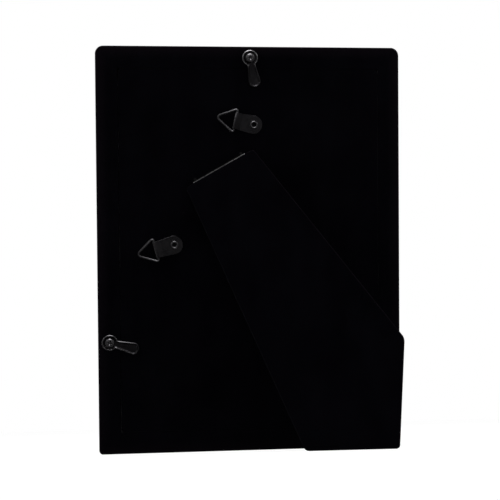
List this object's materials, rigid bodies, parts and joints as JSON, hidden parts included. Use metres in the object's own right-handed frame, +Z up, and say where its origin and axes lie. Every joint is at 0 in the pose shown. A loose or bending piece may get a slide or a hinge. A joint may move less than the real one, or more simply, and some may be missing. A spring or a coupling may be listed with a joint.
{
  "type": "metal photo frame",
  "caption": "Free-standing metal photo frame with a velvet back, an easel strut on a stop hinge, turn buttons and triangle hangers.",
  "frame": {"origin": "on the floor, at the middle of the bounding box's footprint, with the frame standing on its bottom edge and its strut", "axes": "+Z up; the velvet back with the strut faces -Y and the glass faces +Y, both tilted by the 9.5 degree lean; +X is to the right as seen from behind"},
  "size_m": [0.153, 0.0716, 0.2017],
  "materials": {
    "silver": "satin silver plate on drawn steel sheet",
    "gunmetal": "dark gunmetal plating with a low sheen",
    "steel": "grey rolled steel, bright where it rubs",
    "velvet": "short black velvet pile",
    "fibreboard": "fibreboard stained black",
    "card": "grey card",
    "paper": "plain pale print paper, bare",
    "glass": "clear picture glass"
  },
  "bodies": {
    "frame": {"front_moulding": "silver", "glass_pane": "glass", "print_insert": "paper", "backing_card": "card", "bottom_rail": "fibreboard", "right_rail": "fibreboard", "top_rail": "fibreboard", "left_rail": "fibreboard", "rim_velvet": "velvet", "back_panel": "fibreboard", "back_velvet": "velvet", "hinge_fixed_leaf": "steel", "hinge_pin": "steel", "panel_rivet_left": "steel", "panel_rivet_right": "steel", "top_button_screw": "gunmetal", "left_button_screw": "gunmetal", "right_button_screw": "gunmetal", "top_hanger_eyelet": "gunmetal", "side_hanger_eyelet": "gunmetal"},
    "strut": {"strut_board": "fibreboard", "strut_velvet": "velvet", "hinge_moving_leaf": "steel", "strut_rivet_left": "steel", "strut_rivet_right": "steel"},
    "top_turn_button": {"top_button": "gunmetal"},
    "left_turn_button": {"left_button": "gunmetal"},
    "right_turn_button": {"right_button": "gunmetal"},
    "top_hanger": {"top_hanger_strap": "gunmetal"},
    "side_hanger": {"side_hanger_strap": "gunmetal"},
    "top_ring": {"top_hanger_ring": "gunmetal"},
    "side_ring": {"side_hanger_ring": "gunmetal"}
  },
  "joints": [
    {"name": "strut_fold", "type": "hinge", "parent": "frame", "child": "strut", "pos_m": [-0.01524, 0.00096, 0.13951], "axis": [0.8721, -0.0808, 0.4827], "range_deg": [0, 18.8]},
    {"name": "top_button_turn", "type": "hinge", "parent": "frame", "child": "top_turn_button", "pos_m": [0.0004, -0.00821, 0.1943], "axis": [0, -0.9863, -0.165], "range_deg": [-100.5, 79.5]},
    {"name": "left_button_turn", "type": "hinge", "parent": "frame", "child": "left_turn_button", "pos_m": [-0.0707, 0.0151, 0.055], "axis": [0, -0.9863, -0.165], "range_deg": [-75, 105]},
    {"name": "right_button_turn", "type": "hinge", "parent": "frame", "child": "right_turn_button", "pos_m": [0.0707, 0.0151, 0.055], "axis": [0, -0.9863, -0.165], "range_deg": [-105, 75]},
    {"name": "top_hanger_swivel", "type": "hinge", "parent": "frame", "child": "top_hanger", "pos_m": [0.00205, -0.0027, 0.16136], "axis": [0, -0.9863, -0.165], "range_deg": [-70, 50]},
    {"name": "side_hanger_swivel", "type": "hinge", "parent": "frame", "child": "side_hanger", "pos_m": [-0.03827, 0.00713, 0.10259], "axis": [0, -0.9863, -0.165], "range_deg": [-140, 140]},
    {"name": "top_ring_swing", "type": "hinge", "parent": "top_hanger", "child": "top_ring", "pos_m": [-0.00713, -0.00447, 0.16312], "axis": [0.2164, -0.1611, 0.9629], "range_deg": [0, 155]},
    {"name": "side_ring_swing", "type": "hinge", "parent": "side_hanger", "child": "side_ring", "pos_m": [-0.04734, 0.0061, 0.09995], "axis": [-0.2588, -0.1594, 0.9527], "range_deg": [0, 155]}
  ]
}
